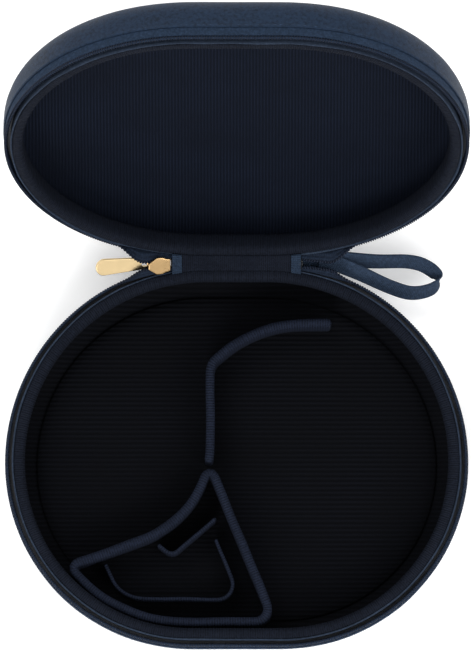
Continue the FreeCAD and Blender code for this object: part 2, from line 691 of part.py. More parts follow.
def build():
    """All nodes by name, in the rest pose."""
    nodes = {}
    relief = slider_relief()
    for half, depth, height_of, angle in (("base_", BASE_HEIGHT, base_height, 0),
                                          ("lid_", LID_HEIGHT, lid_height, OPEN_ANGLE)):
        for name, shape in rim_parts(depth, height_of).items():
            if name in ("rim_welt", "collar_cover", "collar_core"):
                shape = shape.cut(relief)
            nodes[half + name] = turned(shape, angle)
    for side, word in ((-1, "left"), (1, "right")):
        nodes["base_zip_tail_" + word] = zip_tail(side, False)
        nodes["lid_zip_tail_" + word] = zip_tail(side, True)
        nodes["zip_stop_" + word] = zip_stop(side)
    nodes["hinge_inner_strip"] = hinge_strip()
    nodes["slider_body"] = slider_body()
    nodes["slider_bail"] = slider_bail()
    nodes["pull_tab"] = pull_tab()
    nodes["strap_anchor"] = strap_anchor()
    nodes["strap_bartack"] = strap_bartack()
    nodes["wrist_strap"] = wrist_strap()
    nodes["insert_floor_pad"] = floor_pad()
    nodes["box_wall_core"], nodes["box_wall_cover"] = ridge(box_runs(), False)
    nodes["stem_wall_core"], nodes["stem_wall_cover"] = ridge(straight_first(stem_runs()), True)
    nodes["cable_pocket_rim"] = pocket_rim()
    nodes["adapter_pocket_wall"] = adapter_wall()
    return nodes


def main():
    os.makedirs("parts", exist_ok=True)
    for name, shape in build().items():
        if not shape.isValid() or not shape.Solids:
            raise ValueError(name + " is not a valid solid")
        box = shape.BoundBox
        print(f"{name:22s} solids {len(shape.Solids)}  volume {shape.Volume:9.1f} mm3  "
              f"x {box.XMin:.1f} {box.XMax:.1f}  y {box.YMin:.1f} {box.YMax:.1f}  z {box.ZMin:.1f} {box.ZMax:.1f}")
        shape.exportStep("parts/" + name + ".step")
    print("hinge", tuple(HINGE_POINT), "strap root", tuple(strap_root()))
    pivot = Part.Vertex(V(PIVOT_X, pivot_height(), 0))
    print("pull pivot", tuple(at_chain(pivot, SLIDER_X).Point))
    lean = lean_at(SLIDER_X)
    travel = turned_point(HINGE_POINT + V(-math.cos(lean), -math.sin(lean), 0), HALF_OPEN) - HINGE_POINT
    print("slider direction", tuple(travel))
    across = turned_point(HINGE_POINT + UP, HALF_OPEN) - HINGE_POINT
    print("fold width direction", tuple(across))


main()
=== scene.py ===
"""Looks of the headphone carrying case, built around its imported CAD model."""
import json
import math

import bmesh
import bpy
import numpy as np
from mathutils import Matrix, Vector


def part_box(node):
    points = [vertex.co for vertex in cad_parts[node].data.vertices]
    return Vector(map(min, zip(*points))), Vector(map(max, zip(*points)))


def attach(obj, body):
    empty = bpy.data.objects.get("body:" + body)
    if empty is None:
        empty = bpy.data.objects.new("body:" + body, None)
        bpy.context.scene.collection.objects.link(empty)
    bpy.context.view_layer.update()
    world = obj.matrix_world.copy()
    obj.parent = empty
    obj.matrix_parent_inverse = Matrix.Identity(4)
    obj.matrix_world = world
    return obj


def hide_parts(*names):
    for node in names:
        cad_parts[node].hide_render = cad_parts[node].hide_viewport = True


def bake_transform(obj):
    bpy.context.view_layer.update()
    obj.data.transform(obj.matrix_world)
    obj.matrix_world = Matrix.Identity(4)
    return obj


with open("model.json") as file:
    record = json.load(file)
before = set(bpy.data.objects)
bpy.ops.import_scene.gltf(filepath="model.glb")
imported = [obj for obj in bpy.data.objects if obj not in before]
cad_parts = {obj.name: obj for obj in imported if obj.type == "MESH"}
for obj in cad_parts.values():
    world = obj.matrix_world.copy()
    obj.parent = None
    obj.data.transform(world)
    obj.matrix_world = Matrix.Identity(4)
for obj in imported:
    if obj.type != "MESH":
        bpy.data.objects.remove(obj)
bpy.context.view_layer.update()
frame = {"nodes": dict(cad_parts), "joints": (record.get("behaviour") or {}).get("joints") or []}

MM = 0.001
HINGE = next(joint for joint in frame["joints"] if joint["name"] == "lid_hinge")
OPEN_ANGLE = math.radians(-min(HINGE["range_deg"]))
SPLIT_Z = HINGE["pos_m"][2] / MM
BACK_RADIUS = HINGE["pos_m"][1] / MM
FRONT_RADIUS = -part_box("base_outer_fabric")[0].y / MM
HALF_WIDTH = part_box("base_outer_fabric")[1].x / MM
BACK_X = HALF_WIDTH - BACK_RADIUS     # half the straight stretch at the back
BASE_DEPTH = SPLIT_Z
LID_DEPTH = 28.0

# ---- rim and shell sizes, in millimetres, as in the CAD ----
SHOULDER_RADIUS = 14.0
DRAFT = math.radians(4.0)
DRAFT_START = 12.0
FABRIC = 0.7
LINER_SKIN = 3.4
WALL = 4.1
FABRIC_TOP = 7.5
LINER_TOP = 6.0
COLLAR_OUT = 9.1
COLLAR_LOW = 9.65
CHAIN_GAP = 56.0
HINGE_HALF = 28.0
COIL_PITCH = 1.25
COIL_MIDDLE = (1.0, 1.95)      # inset and depth of the coil's centre line
STITCH_PITCH = 2.7
PAD_TOP = 5.6


# ---- where things are ----
def outline(s, inset):
    """Plan points and outward normals at arc lengths s, clockwise from the middle of the back."""
    front_x = HALF_WIDTH - FRONT_RADIUS
    quarter_back = BACK_RADIUS * math.pi / 2
    quarter_front = FRONT_RADIUS * math.pi / 2
    half_length = BACK_X + quarter_back + quarter_front + front_x
    s = np.mod(np.asarray(s, float), 2 * half_length)
    side = np.where(s > half_length, -1.0, 1.0)
    t = np.where(s > half_length, 2 * half_length - s, s)
    back_turn = np.clip((t - BACK_X) / BACK_RADIUS, 0, math.pi / 2)
    front_turn = np.clip((t - BACK_X - quarter_back) / FRONT_RADIUS, 0, math.pi / 2)
    turn = back_turn + front_turn
    nx, ny = np.sin(turn), np.cos(turn)
    on_back = t <= BACK_X + quarter_back
    radius = np.where(on_back, BACK_RADIUS, FRONT_RADIUS)
    centre = np.where(on_back, BACK_X, front_x)
    x = centre + radius * nx
    x = np.where(t < BACK_X, t, x)
    tail = np.clip(t - (half_length - front_x), 0, None)
    x = np.where(tail > 0, front_x - tail, x)
    y = radius * ny
    points = np.stack([side * (x - inset * nx), y - inset * ny], -1)
    return points, np.stack([side * nx, ny], -1)


def outline_length():
    straight = 4 * HALF_WIDTH - 2 * BACK_RADIUS - 2 * FRONT_RADIUS
    return straight + math.pi * (BACK_RADIUS + FRONT_RADIUS)


LENGTH = outline_length()


def arc_at(x):
    """Arc length of the back outline's point at x, on the right side."""
    return BACK_X + BACK_RADIUS * math.asin((x - BACK_X) / BACK_RADIUS)


def opened(points, angle=OPEN_ANGLE):
    """Points of the closed case, turned back about the hinge line."""
    points = np.array(points, float)
    dy = points[..., 1] - BACK_RADIUS
    dz = points[..., 2] - SPLIT_Z
    cos, sin = np.cos(angle), np.sin(angle)
    points[..., 1] = BACK_RADIUS + dy * cos + dz * sin
    points[..., 2] = SPLIT_Z - dy * sin + dz * cos
    return points


def rim(s, inset, depth, lid):
    """Points of the base or the open lid at arc lengths s, inset from the outline, depth from the split."""
    plan, _ = outline(s, inset)
    depth = np.broadcast_to(depth, plan.shape[:-1])
    z = SPLIT_Z + depth if lid else SPLIT_Z - depth
    points = np.concatenate([plan, z[..., None]], -1)
    return opened(points) if lid else points


def of_half(lid, word):
    """A name that starts with the half it belongs to."""
    return ("lid_" if lid else "base_") + word


# ---- meshes ----
def new_object(name, vertices, faces, uvs=None):
    """A smooth mesh object from millimetre points; uvs holds one (u, v) per face corner."""
    mesh = bpy.data.meshes.new(name)
    mesh.from_pydata([tuple(v) for v in np.asarray(vertices) * MM], [], faces)
    if uvs is not None:
        layer = mesh.uv_layers.new(name="along")
        layer.data.foreach_set("uv", np.asarray(uvs, np.float32).ravel())
    mesh.polygons.foreach_set("use_smooth", [True] * len(mesh.polygons))
    obj = bpy.data.objects.new(name, mesh)
    bpy.context.scene.collection.objects.link(obj)
    tidy = bmesh.new()
    tidy.from_mesh(mesh)
    bmesh.ops.recalc_face_normals(tidy, faces=tidy.faces)
    tidy.to_mesh(mesh)
    tidy.free()
    return obj


def grid_object(name, points, wrap_rows, wrap_columns, fans=(False, False), u=None, v=None):
    """A surface through points[row][column]; fans closes the first and last column to their middles.
    Without wrapping, open ends of a wrapped section are capped."""
    rows, columns = points.shape[:2]
    vertices = points.reshape(-1, 3)
    u = np.arange(rows + 1, dtype=float) if u is None else np.asarray(u, float)
    v = np.arange(columns + 1, dtype=float) if v is None else np.asarray(v, float)
    faces = []
    uvs = []
    for row in range(rows if wrap_rows else rows - 1):
        after = (row + 1) % rows
        for column in range(columns if wrap_columns else columns - 1):
            beside = (column + 1) % columns
            faces.append((row * columns + column, after * columns + column,
                          after * columns + beside, row * columns + beside))
            uvs += [(u[row], v[column]), (u[row + 1], v[column]),
                    (u[row + 1], v[column + 1]), (u[row], v[column + 1])]
    extra = []
    for closed, column in zip(fans, (0, columns - 1)):
        if not closed:
            continue
        middle = len(vertices) + len(extra)
        extra.append(points[:, column].mean(0))
        for row in range(rows):
            after = (row + 1) % rows
            faces.append((row * columns + column, after * columns + column, middle))
            uvs += [(u[row], v[column]), (u[row + 1], v[column]), (u[row], v[column])]
    if wrap_columns and not wrap_rows:
        for row in (0, rows - 1):
            middle = len(vertices) + len(extra)
            extra.append(points[row].mean(0))
            for column in range(columns):
                beside = (column + 1) % columns
                faces.append((row * columns + column, row * columns + beside, middle))
                uvs += [(u[row], v[column]), (u[row], v[column + 1]), (u[row], v[column])]
    if extra:
        vertices = np.concatenate([vertices, np.array(extra)])
    return new_object(name, vertices, faces, uvs)


def stations(step, start=0.0, end=None):
    """Arc lengths about step apart; the whole outline when end is None."""
    whole = end is None
    end = LENGTH if whole else end
    count = max(2, round((end - start) / step))
    return np.linspace(start, end, count + (0 if whole else 1), endpoint=not whole)


def swept(name, profile, s, lid, closed_profile=True, fans=(False, False), shift=None):
    """A profile of (inset, depth) corners swept along the rim at arc lengths s.
    shift(s, corner) gives extra (inset, depth) for each station and corner."""
    whole = abs(s[-1] + (s[1] - s[0]) - s[0] - LENGTH) < 1e-6
    profile = np.asarray(profile, float)
    inset = np.repeat(profile[None, :, 0], len(s), 0)
    depth = np.repeat(profile[None, :, 1], len(s), 0)
    if shift is not None:
        more_inset, more_depth = shift(s[:, None], np.arange(len(profile))[None, :])
        inset = inset + more_inset
        depth = depth + more_depth
    along = np.repeat(s[:, None], len(profile), 1)
    points = rim(along, inset, depth, lid)
    lengths = np.concatenate([[0], np.cumsum(np.hypot(*np.diff(profile, axis=0).T))])
    v = np.append(lengths, lengths[-1] + np.hypot(*(profile[0] - profile[-1]))) * MM
    u = np.append(s, s[-1] + s[1] - s[0]) * MM
    return grid_object(name, points, whole, closed_profile, fans, u, v)


def tube_along(name, path, wide, thick, across, sides):
    """A flattened tube along path; across gives its wide direction at each point."""
    path = np.asarray(path, float)
    tangent = np.gradient(path, axis=0)
    tangent /= np.linalg.norm(tangent, axis=1)[:, None]
    across = np.broadcast_to(np.asarray(across, float), path.shape)
    across = across - tangent * np.sum(across * tangent, 1)[:, None]
    across /= np.linalg.norm(across, axis=1)[:, None]
    normal = np.cross(tangent, across)
    angles = np.linspace(0, 2 * math.pi, sides, endpoint=False)
    ring = across[:, None] * np.cos(angles)[None, :, None] * wide / 2
    ring = ring + normal[:, None] * np.sin(angles)[None, :, None] * thick / 2
    return grid_object(name, path[:, None] + ring, False, True)


# ---- materials ----
def srgb(r, g, b):
    """Linear colour of an 8-bit sRGB one."""
    return tuple((c / 255 / 12.92) if c <= 10 else ((c / 255 + 0.055) / 1.055) ** 2.4 for c in (r, g, b))


class Nodes:
    """A node material under construction."""

    def __init__(self, name):
        self.material = bpy.data.materials.new(name)
        self.material.use_nodes = True
        self.tree = self.material.node_tree
        self.shader = self.tree.nodes["Principled BSDF"]

    def add(self, kind, inputs=None, **settings):
        node = self.tree.nodes.new(kind)
        for key, value in settings.items():
            setattr(node, key, value)
        for key, value in (inputs or {}).items():
            if isinstance(value, bpy.types.NodeSocket):
                self.tree.links.new(value, node.inputs[key])
            else:
                node.inputs[key].default_value = value
        return node

    def position(self):
        return self.add("ShaderNodeTexCoord").outputs["Object"]

    def along(self):
        return self.add("ShaderNodeUVMap", uv_map="along").outputs["UV"]

    def stretched(self, vector, scale):
        return self.add("ShaderNodeMapping", {"Vector": vector, "Scale": scale}).outputs["Vector"]

    def noise(self, vector, scale, detail=3.0, roughness=0.5):
        inputs = {"Vector": vector, "Scale": scale, "Detail": detail, "Roughness": roughness}
        return self.add("ShaderNodeTexNoise", inputs).outputs["Fac"]

    def wave(self, vector, pitch, direction="X", distortion=0.0):
        """Stripes with the given pitch in metres, from 0 to 1."""
        inputs = {"Vector": vector, "Scale": 2 * math.pi / 20 / pitch, "Distortion": distortion,
                  "Detail": 1.0, "Detail Scale": 1.0}
        node = self.add("ShaderNodeTexWave", inputs, bands_direction=direction)
        return node.outputs["Fac"]

    def maths(self, operation, first, second=0.0):
        return self.add("ShaderNodeMath", {0: first, 1: second}, operation=operation).outputs[0]

    def spread(self, value, low, high, to_low=0.0, to_high=1.0):
        inputs = {"Value": value, "From Min": low, "From Max": high, "To Min": to_low, "To Max": to_high}
        return self.add("ShaderNodeMapRange", inputs).outputs["Result"]

    def mixed(self, amount, first, second):
        node = self.add("ShaderNodeMix", data_type="RGBA")
        for socket, value in ((node.inputs[0], amount), (node.inputs[6], first), (node.inputs[7], second)):
            if isinstance(value, bpy.types.NodeSocket):
                self.tree.links.new(value, socket)
            else:
                socket.default_value = (*value, 1.0) if socket.type == "RGBA" else value
        return node.outputs[2]

    def finish(self, colour, roughness, height=None, depth=0.0001, strength=1.0, **fixed):
        for name, value in (("Base Color", colour), ("Roughness", roughness)):
            if isinstance(value, bpy.types.NodeSocket):
                self.tree.links.new(value, self.shader.inputs[name])
            else:
                self.shader.inputs[name].default_value = (*value, 1.0) if name == "Base Color" else value
        if height is not None:
            bump = self.add("ShaderNodeBump", {"Height": height, "Distance": depth, "Strength": strength})
            self.tree.links.new(bump.outputs["Normal"], self.shader.inputs["Normal"])
        for name, value in fixed.items():
            self.shader.inputs[name.replace("_", " ").title().replace("Ior", "IOR")].default_value = value
        return self.material


def shaded(colour, factor):
    return tuple(min(1.0, channel * factor) for channel in colour)


def coated_fabric(name, colour):
    """Moulded shell cloth: a very fine plain weave with heather flecks under a satin coating."""
    make = Nodes(name)
    where = make.position()
    warp = make.wave(where, 0.00042, "X", 0.3)
    weft = make.wave(where, 0.00042, "Y", 0.3)
    weft_z = make.wave(where, 0.00042, "Z", 0.3)
    weave = make.maths("ADD", make.maths("MULTIPLY", warp, weft), weft_z)
    cloudy = make.noise(where, 35.0, 4.0, 0.6)
    heather = make.noise(where, 620.0, 2.0, 0.6)
    fleck = make.noise(where, 1100.0, 2.0, 0.7)
    colour_mix = make.mixed(make.spread(cloudy, 0.3, 0.7), shaded(colour, 0.8), shaded(colour, 1.18))
    colour_mix = make.mixed(make.spread(heather, 0.4, 0.66, 0.0, 0.75), colour_mix, shaded(colour, 1.75))
    colour_mix = make.mixed(make.spread(heather, 0.3, 0.42, 0.6, 0.0), colour_mix, shaded(colour, 0.45))
    colour_mix = make.mixed(make.spread(fleck, 0.55, 0.8, 0.0, 0.4), colour_mix, shaded(colour, 2.2))
    rough = make.spread(cloudy, 0.25, 0.75, 0.5, 0.66)
    height = make.maths("ADD", make.maths("MULTIPLY", weave, 0.4), make.maths("MULTIPLY", fleck, 0.5))
    return make.finish(colour_mix, rough, height, 0.00012, 0.6, sheen_weight=0.04, sheen_roughness=0.4,
                       sheen_tint=(*shaded(colour, 6.0), 1.0), specular_ior_level=0.12)


def woven(name, colour, pitch, contrast, depth=0.00025, rib_only=False):
    """Cloth woven or knitted along a rim: ribs across its length, threads along it."""
    make = Nodes(name)
    where = make.along()
    space = make.position()
    ribs = make.wave(where, pitch, "X", 0.6)
    threads = make.wave(where, pitch * 0.8, "Y", 0.6)
    weave = ribs if rib_only else make.maths("MULTIPLY", make.maths("ADD", ribs, 0.35), threads)
    cloudy = make.noise(space, 60.0, 4.0, 0.6)
    fuzz = make.noise(space, 1400.0, 2.0, 0.7)
    tone = make.mixed(make.spread(weave, 0.05, 0.9), shaded(colour, 1 / contrast), shaded(colour, contrast))
    tone = make.mixed(make.spread(cloudy, 0.35, 0.7, 0.0, 0.5), tone, shaded(colour, 0.7))
    heather = make.noise(space, 700.0, 2.0, 0.6)
    tone = make.mixed(make.spread(heather, 0.42, 0.68, 0.0, 0.6), tone, shaded(colour, 1.7))
    tone = make.mixed(make.spread(fuzz, 0.55, 0.8, 0.0, 0.5), tone, shaded(colour, 2.0))
    height = make.maths("ADD", weave, make.maths("MULTIPLY", fuzz, 0.6))
    return make.finish(tone, make.spread(cloudy, 0.2, 0.8, 0.78, 0.95), height, depth, 0.8,
                       sheen_weight=0.04, sheen_roughness=0.5, sheen_tint=(*shaded(colour, 6.0), 1.0),
                       specular_ior_level=0.1)


def napped(name, colour, rib, direction, depth):
    """Brushed lining with a short nap and fine moulded ribs, rib apart."""
    make = Nodes(name)
    where = make.position()
    nap = make.noise(make.stretched(where, (1.0, 1.7, 1.0)), 1700.0, 3.0, 0.75)
    patch = make.noise(where, 26.0, 5.0, 0.62)
    lint = make.noise(where, 420.0, 1.0, 0.4)
    tone = make.mixed(make.spread(patch, 0.3, 0.72), shaded(colour, 0.72), shaded(colour, 1.35))
    tone = make.mixed(make.spread(nap, 0.5, 0.78, 0.0, 0.6), tone, shaded(colour, 2.4))
    ribs = make.wave(where, rib, direction, 0.25)
    tone = make.mixed(make.spread(ribs, 0.1, 0.9), shaded(colour, 0.62), tone)
    height = make.maths("ADD", make.maths("MULTIPLY", nap, 0.5), make.maths("MULTIPLY", lint, 0.3))
    height = make.maths("ADD", height, ribs)
    return make.finish(tone, make.spread(patch, 0.2, 0.8, 0.86, 0.98), height, depth, 0.85,
                       sheen_weight=0.03, sheen_roughness=0.55, sheen_tint=(*shaded(colour, 6.0), 1.0),
                       specular_ior_level=0.06)


def plastic(name, colour, roughness):
    make = Nodes(name)
    where = make.position()
    grain = make.noise(where, 2200.0, 2.0, 0.6)
    cloudy = make.noise(where, 160.0, 3.0, 0.6)
    tone = make.mixed(make.spread(cloudy, 0.3, 0.7), shaded(colour, 0.8), shaded(colour, 1.3))
    rough = make.spread(cloudy, 0.25, 0.75, roughness - 0.07, roughness + 0.1)
    return make.finish(tone, rough, grain, 0.00002, 0.5, specular_ior_level=0.2)


def plated(name, colour, roughness):
    """Satin plated metal with fine brushing along X, faint smears and rubbed spots."""
    make = Nodes(name)
    where = make.position()
    brushed = make.noise(make.stretched(where, (60.0, 900.0, 900.0)), 6.0, 3.0, 0.7)
    smear = make.noise(where, 240.0, 4.0, 0.65)
    pits = make.noise(where, 2600.0, 1.0, 0.5)
    tone = make.mixed(make.spread(smear, 0.3, 0.75), shaded(colour, 0.97), shaded(colour, 1.02))
    rough = make.maths("ADD", make.spread(smear, 0.25, 0.8, roughness - 0.02, roughness + 0.03),
                       make.spread(brushed, 0.3, 0.7, -0.02, 0.02))
    height = make.maths("ADD", brushed, make.maths("MULTIPLY", pits, 0.4))
    return make.finish(tone, rough, height, 0.000003, 0.25, metallic=1.0)


def foam(name, colour):
    make = Nodes(name)
    where = make.position()
    cells = make.add("ShaderNodeTexVoronoi", {"Vector": where, "Scale": 1500.0}).outputs["Distance"]
    cloudy = make.noise(where, 80.0, 3.0, 0.6)
    tone = make.mixed(make.spread(cloudy, 0.3, 0.7), shaded(colour, 0.8), shaded(colour, 1.2))
    return make.finish(tone, make.spread(cloudy, 0.2, 0.8, 0.85, 0.95), cells, 0.0002, 0.7)


SHELL = coated_fabric("shell_fabric", srgb(20, 33, 50))
TAPE_CLOTH = woven("zip_tape_weave", srgb(33, 46, 64), 0.0007, 1.35)
HINGE_CLOTH = woven("hinge_weave", srgb(15, 20, 30), 0.00095, 1.4, 0.0003)
KNIT_CLOTH = woven("hinge_knit", srgb(9, 13, 22), 0.00095, 1.9, 0.0004, rib_only=True)
GUSSET_CLOTH = woven("zip_end_weave", srgb(20, 28, 41), 0.0008, 1.6)
GARAGE_CLOTH = woven("garage_weave", srgb(28, 39, 54), 0.0009, 1.5)
LIP_CLOTH = woven("lip_weave", srgb(36, 45, 59), 0.0005, 1.3, 0.00015)
COLLAR_CLOTH = woven("collar_rib", srgb(11, 15, 24), 0.0011, 1.5, 0.0003, rib_only=True)
LID_LINING = napped("lid_lining", srgb(13, 18, 29), 0.0015, "X", 0.0004)
BASE_LINING = napped("base_lining", srgb(6, 7, 11), 0.0022, "Y", 0.0003)
DIVIDER_CLOTH = woven("divider_cloth", srgb(15, 20, 32), 0.0012, 1.6, 0.0003, rib_only=True)
THREAD_LOOK = woven("thread", srgb(40, 54, 73), 0.0004, 1.3, 0.0001)
COIL_LOOK = plastic("coil_nylon", srgb(13, 21, 37), 0.6)
CLIP_LOOK = plastic("clip_black", srgb(9, 12, 18), 0.55)
WEBBING = woven("strap_webbing", srgb(38, 50, 67), 0.0008, 1.4, 0.0003)
SLIDER_METAL = plated("slider_plating", srgb(168, 140, 100), 0.34)
PULL_METAL = plated("pull_plating", srgb(205, 182, 140), 0.3)
FOAM_LOOK = foam("foam", srgb(60, 62, 66))


def dressed(obj, material, body, slot_name, *nodes):
    """Gives a piece its material and its body, and hides the nodes it stands for; slot_name is not used."""
    obj.data.materials.clear()
    obj.data.materials.append(material)
    if body:
        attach(obj, body)
    if nodes:
        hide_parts(*nodes)
    return obj


# ---- the moulded shells ----
def wall_profile(skin, depth, arc_steps=9):
    """Knee to floor of the surface that lies skin inside the wall, as (inset, depth) corners."""
    centre_depth = depth - SHOULDER_RADIUS
    centre_inset = SHOULDER_RADIUS / math.cos(DRAFT) + (centre_depth - DRAFT_START) * math.tan(DRAFT)
    reach = SHOULDER_RADIUS - skin
    knee = DRAFT_START + (skin - skin / math.cos(DRAFT)) / math.tan(DRAFT)
    corners = [(skin, knee)]
    for step in range(arc_steps + 1):
        angle = DRAFT + (math.pi / 2 - DRAFT) * step / arc_steps
        corners.append((centre_inset - reach * math.cos(angle), centre_depth + reach * math.sin(angle)))
    return corners


FLOOR_INSETS = (19.0, 25.0, 32.0, 40.0, 50.0, 60.0, 70.0, 80.0)


def floor_profile(skin, depth):
    return [(inset, depth - skin) for inset in FLOOR_INSETS]


def shell(name, depth, lid, body):
    """Outer cloth: a folded top edge, the wall, the shoulder and the flat panel, with its inner face."""
    outer = [(0.75, FABRIC_TOP + 0.25), (0.5, FABRIC_TOP - 0.05), (0.12, FABRIC_TOP + 0.02),
             (-0.12, FABRIC_TOP + 0.45), (-0.05, FABRIC_TOP + 1.1), (0.0, FABRIC_TOP + 2.0), (0.0, 11.0)]
    outer += wall_profile(0.0, depth) + floor_profile(0.0, depth)
    inner = wall_profile(FABRIC, depth) + floor_profile(FABRIC, depth)
    profile = inner[::-1] + outer
    s = stations(3.0)
    count_inner = len(inner)
    floor_start = len(profile) - len(FLOOR_INSETS) - 3

    def shift(s, corner):
        wander = np.sin(s * 0.031 + 1.3) * 0.5 + np.sin(s * 0.083) * 0.3 + np.sin(s * 0.19 + 0.5) * 0.2
        past_edge = corner - count_inner
        at_wall = np.where((past_edge >= 4) & (corner < floor_start), 1.0, 0.0)
        at_edge = np.where((past_edge >= 0) & (past_edge <= 3), 1.0, 0.0)
        return -at_wall * wander * 0.198, at_edge * wander * 0.12

    piece = swept(name, profile, s, lid, False, (True, True), shift)
    node = of_half(lid, "outer_fabric")
    return dressed(piece, SHELL, body, "shell_fabric", node)


def liner(name, depth, lid, body, material, slot_name):
    """Lining: back face, wall, shoulder and floor that the foam shows through softly."""
    skin = WALL
    face = [(skin, LINER_TOP), (skin, 9.0)] + wall_profile(skin, depth) + floor_profile(skin, depth)
    back = wall_profile(LINER_SKIN, depth) + floor_profile(LINER_SKIN, depth)
    profile = back[::-1] + [(LINER_SKIN, LINER_TOP)] + face
    piece = swept(name, profile, stations(3.0), lid, False, (True, True))
    node = of_half(lid, "liner")
    return dressed(piece, material, body, slot_name, node)


def collar(lid, body):
    """Padded collar: knitted ribs run across it, and it swells a little between its seams."""
    low = COLLAR_LOW
    profile = [(WALL, 0.75), (WALL + 0.25, 0.3), (WALL + 1.0, 0.08), (WALL + 2.0, 0.0), (WALL + 3.0, 0.1),
               (WALL + 3.9, 0.55), (WALL + 4.6, 1.35), (COLLAR_OUT, 2.6), (COLLAR_OUT + 0.15, 4.2),
               (COLLAR_OUT + 0.15, 6.0), (COLLAR_OUT, 8.0), (COLLAR_OUT - 0.35, 9.1), (WALL + 3.8, low),
               (WALL, low), (WALL, 5.0)]
    weight = np.array([0, 0.5, 1, 1, 1, 1, 1, 1, 1, 1, 0.8, 0.4, 0, 0, 0])
    rib = 1.65
    count = round(LENGTH / rib)

    def shift(s, corner):
        phase = 2 * math.pi * s * count / LENGTH
        ribs = (0.5 + 0.5 * np.cos(phase)) ** 0.7
        soft = 0.15 * np.sin(s * 0.045 + lid) + 0.1 * np.sin(s * 0.11 + 2)
        amount = weight[corner]
        inwards = np.where(corner >= 5, 1.0, 0.3) * amount * (ribs * 0.16 - 0.16 + soft * 0.5)
        upwards = np.where((corner >= 1) & (corner <= 6), 1.0, 0.0) * amount * (ribs * 0.15 - 0.15)
        return inwards, -upwards

    piece = swept(of_half(lid, "collar_pad"), profile, stations(rib / 5), lid, True,
                  shift=shift)
    node = of_half(lid, "collar_cover")
    dressed(piece, COLLAR_CLOTH, body, "collar_fabric", node)


def lip(lid, body):
    """Upright folded cloth lip between the zip and the collar."""
    profile = [(3.3, 6.0), (3.26, 3.0), (3.22, 0.9), (3.3, 0.3), (3.55, -0.02), (3.85, -0.02),
               (4.06, 0.3), (4.1, 0.9), (4.1, 6.0)]

    def shift(s, corner):
        lift = np.clip(1 - np.abs(corner - 4.5) / 3.5, 0, 1)
        lean = 0.25 * np.sin(s * 0.06 + 3 * lid) + 0.12 * np.sin(s * 0.21) - 0.28
        slider_run = np.exp(-((s - (LENGTH - arc_at(41.0))) / 14) ** 6)      # pressed back by the slider
        lean = lean * (1 - slider_run) + 0.15 * slider_run
        return lift * lean, lift * (0.22 * np.abs(np.sin(s * 0.13 + lid)) + 0.5 * slider_run)

    piece = swept(of_half(lid, "lip"), profile, stations(2.5), lid, True, shift=shift)
    return dressed(piece, LIP_CLOTH, body, "shell_fabric", of_half(lid, "rim_welt"))


# ---- the zip ----
def tape_band(lid, body):
    """Woven zip tape from behind the coil to inside the shell's edge."""
    start, end = arc_at(CHAIN_GAP), LENGTH - arc_at(CHAIN_GAP)
    profile = [(1.3, 2.95), (0.74, 2.97), (0.68, 3.3), (0.72, 5.0), (0.7, 7.0), (0.7, 9.5), (1.3, 9.5),
               (1.3, 6.0)]
    piece = swept(of_half(lid, "tape_band"), profile, stations(2.5, start, end), lid)
    return dressed(piece, TAPE_CLOTH, body, "tape", of_half(lid, "zip_tape"))


def coil(lid, body):
    """Coil half: one looped nylon wire, with the lid's loops half a pitch along so that they mesh."""
    start, end = arc_at(CHAIN_GAP), LENGTH - arc_at(CHAIN_GAP)
    turns = int((end - start) / COIL_PITCH)
    per_turn = 9
    steps = np.arange(turns * per_turn + 1)
    phase = steps / per_turn
    s = start + (phase + (0.5 if lid else 0)) * COIL_PITCH
    angle = 2 * math.pi * phase
    inset = COIL_MIDDLE[0] + 0.68 * np.cos(angle)
    depth = COIL_MIDDLE[1] + 0.74 * np.sin(angle)
    path = rim(s[:, None], inset[:, None], depth[:, None], lid)[:, 0]
    _, normal = outline(s, 0.0)
    along = np.stack([normal[:, 1], -normal[:, 0], np.zeros(len(s))], -1)
    piece = tube_along(of_half(lid, "coil"), path, 0.62, 0.5, along, 5)
    return dressed(piece, COIL_LOOK, body, "coil", of_half(lid, "zip_coil"))


def coil_core(lid, body):
    """Filler cord inside the coil."""
    start, end = arc_at(CHAIN_GAP), LENGTH - arc_at(CHAIN_GAP)
    profile = [(1.0 + 0.42 * math.cos(a), 1.95 + 0.5 * math.sin(a))
               for a in np.linspace(0, 2 * math.pi, 8, endpoint=False)]
    piece = swept(of_half(lid, "coil_cord"), profile, stations(2.5, start, end), lid)
    return dressed(piece, TAPE_CLOTH, body, "tape")


def stitch_shape(length, wide, thick):
    """One stitch: points of a short pinched thread, as (along, across, out) rings."""
    rings = []
    for place in (-1.0, -0.8, -0.35, 0.35, 0.8, 1.0):
        girth = math.sqrt(max(0.05, 1 - abs(place) ** 3))
        sink = -0.35 * thick * abs(place) ** 2
        ring = [(place * length / 2, math.cos(a) * wide / 2 * girth, sink + math.sin(a) * thick / 2 * girth)
                for a in np.linspace(0, 2 * math.pi, 6, endpoint=False)]
        rings.append(ring)
    return np.array(rings)


def stitches(name, frames, length=1.9, wide=0.42, thick=0.4):
    """Many stitches in one object; each frame is (place, along, across, out)."""
    shape = stitch_shape(length, wide, thick)
    rings, sides = shape.shape[:2]
    vertices = []
    faces = []
    for place, along, across, out in frames:
        base = len(vertices)
        for ring in shape:
            for a, b, c in ring:
                vertices.append(place + a * along + b * across + c * out)
        for ring in range(rings - 1):
            for side in range(sides):
                beside = (side + 1) % sides
                faces.append((base + ring * sides + side, base + (ring + 1) * sides + side,
                              base + (ring + 1) * sides + beside, base + ring * sides + beside))
        faces.append(tuple(base + side for side in range(sides)))
        faces.append(tuple(base + (rings - 1) * sides + side for side in range(sides)))
    corners = sum(len(face) for face in faces)
    return new_object(name, vertices, faces, np.zeros((corners, 2)))


